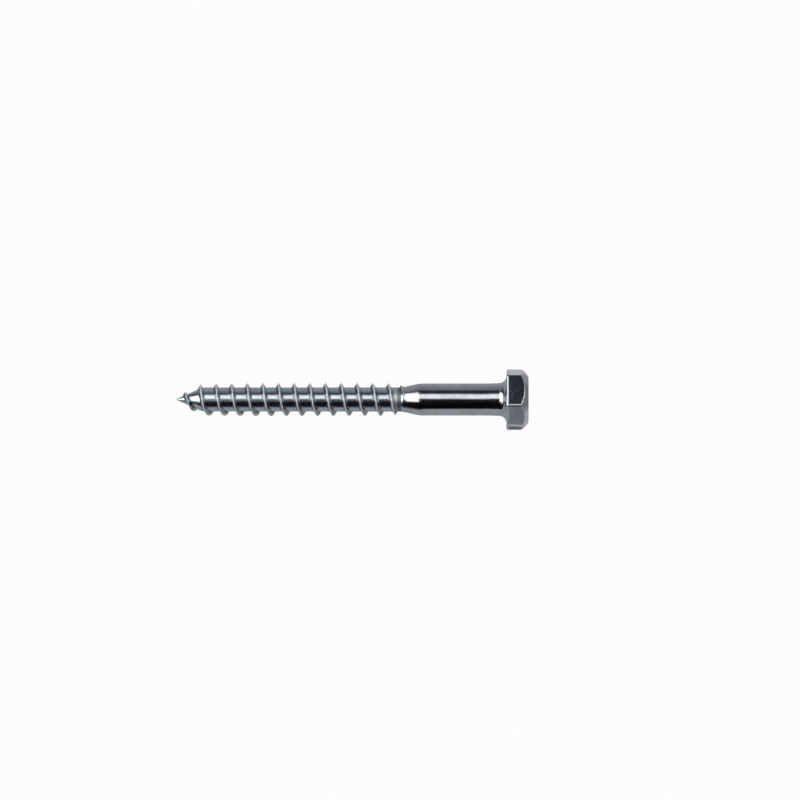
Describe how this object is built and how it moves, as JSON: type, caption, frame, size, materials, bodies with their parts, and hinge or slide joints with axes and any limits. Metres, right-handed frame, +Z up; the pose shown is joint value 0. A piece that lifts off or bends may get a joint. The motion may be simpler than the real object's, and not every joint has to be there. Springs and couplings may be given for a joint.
{
  "type": "lag screw",
  "caption": "Hexagon-head wood screw with a coarse right-hand thread and a gimlet point, for fixing timber and fittings without a nut.",
  "frame": {"origin": "centre of the bearing face under the head, on the screw's axis", "axes": "+Z up. The screw lies on its side as it rests on a floor, with its head towards +X and its point towards -X. Its axis is in the XZ plane and dips 2.26 degrees towards the point."},
  "size_m": [0.1068, 0.0192, 0.017],
  "materials": {
    "bright_zinc_steel": "bright zinc-plated steel, smooth and slightly bluish, a little streaky from rolling and forging"
  },
  "bodies": {
    "root": {"lag_screw": "bright_zinc_steel"}
  },
  "joints": []
}
